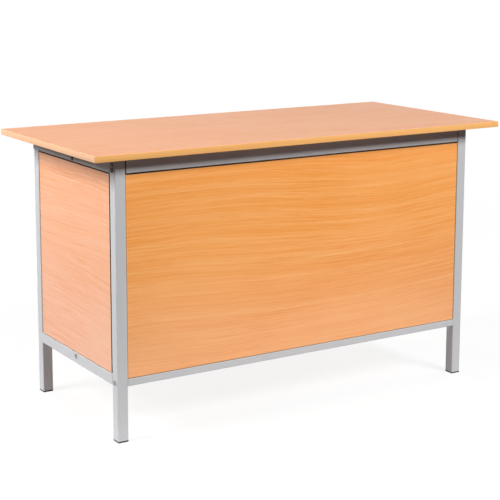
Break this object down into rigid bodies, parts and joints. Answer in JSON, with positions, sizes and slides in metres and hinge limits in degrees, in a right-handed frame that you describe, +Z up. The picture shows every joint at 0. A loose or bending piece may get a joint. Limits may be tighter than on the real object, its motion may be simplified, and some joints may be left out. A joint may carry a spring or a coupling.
{
  "type": "teacher desk",
  "caption": "Classroom teacher desk: square tube frame with bolted rails, beech-effect worktop and front and side panels, pedestal with drawer and cupboard",
  "frame": {"origin": "on the floor under the middle of the worktop", "axes": "+X along the desk's length, -Y towards the class and the front panel, +Y towards the user's side with the drawer and door, +Z up"},
  "size_m": [1.3, 0.6, 0.76],
  "materials": {
    "beech_board": "beech-effect melamine faced chipboard, satin",
    "worktop_edging": "beech-effect edging strip, satin",
    "thin_edging": "beech-effect thin edging strip, satin",
    "white_hardboard": "thin hardboard faced in off-white",
    "drawer_board": "off-white faced drawer board",
    "frame_paint": "light grey powder coat, fine texture",
    "runner_paint": "white epoxy coated sheet steel",
    "black_plastic": "black moulded polyethylene",
    "spacer_plastic": "black moulded pads",
    "roller_plastic": "off-white nylon",
    "zinc_steel": "bright zinc plated bolts",
    "plated_steel": "nickel plated sheet steel",
    "lock_metal": "nickel plated die casting",
    "handle_metal": "satin nickel bar"
  },
  "bodies": {
    "frame": {"left_front_leg": "frame_paint", "right_front_leg": "frame_paint", "left_rear_leg": "frame_paint", "right_rear_leg": "frame_paint", "left_top_rail": "frame_paint", "right_top_rail": "frame_paint", "left_bottom_rail": "frame_paint", "right_bottom_rail": "frame_paint", "front_top_rail": "frame_paint", "front_bottom_rail": "frame_paint", "middle_top_rail": "frame_paint", "middle_bottom_rail": "frame_paint", "rail_end_plugs": "black_plastic", "frame_bolts": "zinc_steel", "leg_caps": "black_plastic", "rail_end_caps": "black_plastic", "feet": "black_plastic", "fixing_tabs": "frame_paint", "worktop_spacers": "spacer_plastic", "worktop": "beech_board", "worktop_edging": "worktop_edging", "front_panel": "beech_board", "left_side_panel": "beech_board", "right_side_panel": "beech_board", "panel_edging": "thin_edging", "pedestal_left_side": "beech_board", "pedestal_right_side": "beech_board", "pedestal_top": "beech_board", "pedestal_divider": "beech_board", "pedestal_floor": "beech_board", "pedestal_back_board": "white_hardboard", "pedestal_shelf": "beech_board", "shelf_pins": "plated_steel", "pedestal_edging": "thin_edging", "cabinet_runners": "runner_paint", "hinge_cabinet_leaves": "plated_steel", "hinge_pins": "plated_steel", "lock_strikes": "plated_steel"},
    "drawer": {"drawer_front": "beech_board", "drawer_front_edging": "thin_edging", "drawer_sides": "drawer_board", "drawer_back": "drawer_board", "drawer_bottom": "white_hardboard", "drawer_runners": "runner_paint", "drawer_handle": "handle_metal", "drawer_lock_housing": "lock_metal"},
    "door": {"door": "beech_board", "door_edging": "thin_edging", "hinge_door_leaves": "plated_steel", "door_handle": "handle_metal", "door_lock_housing": "lock_metal"},
    "drawer_lock": {"drawer_lock_core": "lock_metal", "drawer_lock_tongue": "plated_steel"},
    "door_lock": {"door_lock_core": "lock_metal", "door_lock_tongue": "plated_steel"},
    "cabinet_rollers": {"cabinet_rollers": "roller_plastic"},
    "drawer_rollers": {"drawer_rollers": "roller_plastic"}
  },
  "joints": [
    {"name": "drawer_slide", "type": "slide", "parent": "frame", "child": "drawer", "axis": [0, 1, 0], "range_m": [0, 0.3]},
    {"name": "door_hinge", "type": "hinge", "parent": "frame", "child": "door", "pos_m": [-0.5226, 0.255, 0.372], "axis": [0, 0, 1], "range_deg": [0, 110]},
    {"name": "drawer_lock_turn", "type": "hinge", "parent": "drawer", "child": "drawer_lock", "pos_m": [-0.34, 0.24, 0.657], "axis": [0, 1, 0], "range_deg": [0, 90]},
    {"name": "door_lock_turn", "type": "hinge", "parent": "door", "child": "door_lock", "pos_m": [-0.19, 0.24, 0.521], "axis": [0, 1, 0], "range_deg": [0, 90]},
    {"name": "cabinet_rollers_spin", "type": "hinge", "parent": "frame", "child": "cabinet_rollers", "pos_m": [-0.34, 0.22, 0.5893], "axis": [1, 0, 0], "range_deg": [-1570, 1]},
    {"name": "drawer_rollers_spin", "type": "hinge", "parent": "drawer", "child": "drawer_rollers", "pos_m": [-0.34, -0.152, 0.587], "axis": [1, 0, 0], "range_deg": [-1645, 1]}
  ],
  "couplings": [
    {"joint": "cabinet_rollers_spin", "follows": "drawer_slide", "rad_per_m": -90.909},
    {"joint": "drawer_rollers_spin", "follows": "drawer_slide", "rad_per_m": -95.238}
  ]
}
